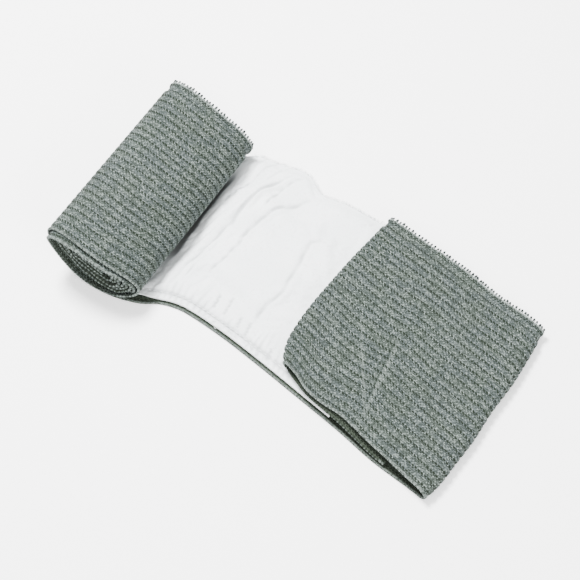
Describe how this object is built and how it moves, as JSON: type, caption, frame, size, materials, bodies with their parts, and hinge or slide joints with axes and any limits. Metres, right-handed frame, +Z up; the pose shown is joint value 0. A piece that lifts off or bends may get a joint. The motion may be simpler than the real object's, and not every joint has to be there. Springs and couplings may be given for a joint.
{
  "type": "compression bandage with dressing pad",
  "caption": "Elastic woven bandage partly wound into a flattened roll, with a quilted absorbent pad on its open run and the far end folded back over the pad.",
  "frame": {"origin": "bottom centre of the bounding box, on the surface that the bandage lies on", "axes": "+X along the strip from the roll to the folded tail, +Y across the strip from its front edge to its back edge, +Z up"},
  "size_m": [0.2294, 0.1216, 0.036],
  "materials": {
    "woven_elastic": "matt ribbed weave, grey-green with dark flecks",
    "pad_nonwoven": "matt white non-woven, softly creased"
  },
  "bodies": {
    "root": {"elastic_bandage": "woven_elastic", "absorbent_pad": "pad_nonwoven"}
  },
  "joints": []
}
